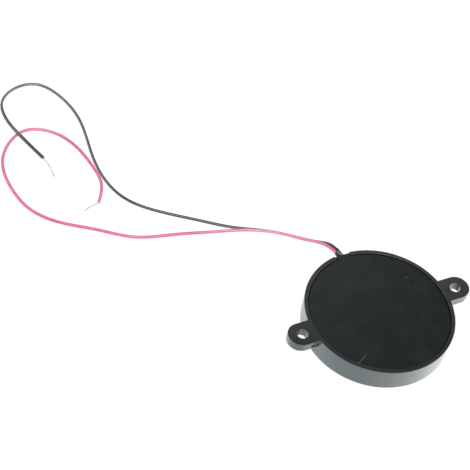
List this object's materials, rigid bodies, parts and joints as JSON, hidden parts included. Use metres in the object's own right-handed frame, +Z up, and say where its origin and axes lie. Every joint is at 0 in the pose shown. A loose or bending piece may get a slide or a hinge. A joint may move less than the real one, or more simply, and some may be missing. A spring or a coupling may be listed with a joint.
{
  "type": "piezo buzzer",
  "caption": "Thin round piezo buzzer: a black moulded case with a closed back plate, a fixing ear on either side, a sound hole in the front face, and flying leads with stripped ends.",
  "frame": {"origin": "under the centre of the case, on the sound face it lies on", "axes": "+X towards one fixing ear, +Y towards the lead exit, +Z up through the closed back plate"},
  "size_m": [0.1093, 0.1396, 0.0075],
  "materials": {
    "case_plastic": "black ABS, satin from the mould, smooth side wall",
    "plate_plastic": "black ABS, fine even mould texture",
    "disc_brass": "rolled brass sheet, bright",
    "ceramic": "fired lead zirconate titanate ceramic, matt",
    "silver": "fired silver paste, matt silver",
    "silicone": "white silicone bead",
    "solder": "tin solder, bright and smooth",
    "sealant": "black sealant, slightly glossy",
    "sleeve_black": "shrunk polyolefin, satin",
    "lead_red": "pinkish red PVC insulation, satin",
    "lead_black": "black PVC insulation, satin",
    "strands": "tinned copper strands, twisted"
  },
  "bodies": {
    "root": {"housing": "case_plastic", "back_plate": "plate_plastic", "brass_disc": "disc_brass", "piezo_ceramic": "ceramic", "silver_electrode": "silver", "disc_adhesive": "silicone", "red_solder_joint": "solder", "black_solder_joint": "solder", "exit_sealant": "sealant", "lead_sleeve": "sleeve_black", "red_lead": "lead_red", "black_lead": "lead_black", "red_lead_end": "strands", "black_lead_end": "strands"}
  },
  "joints": []
}
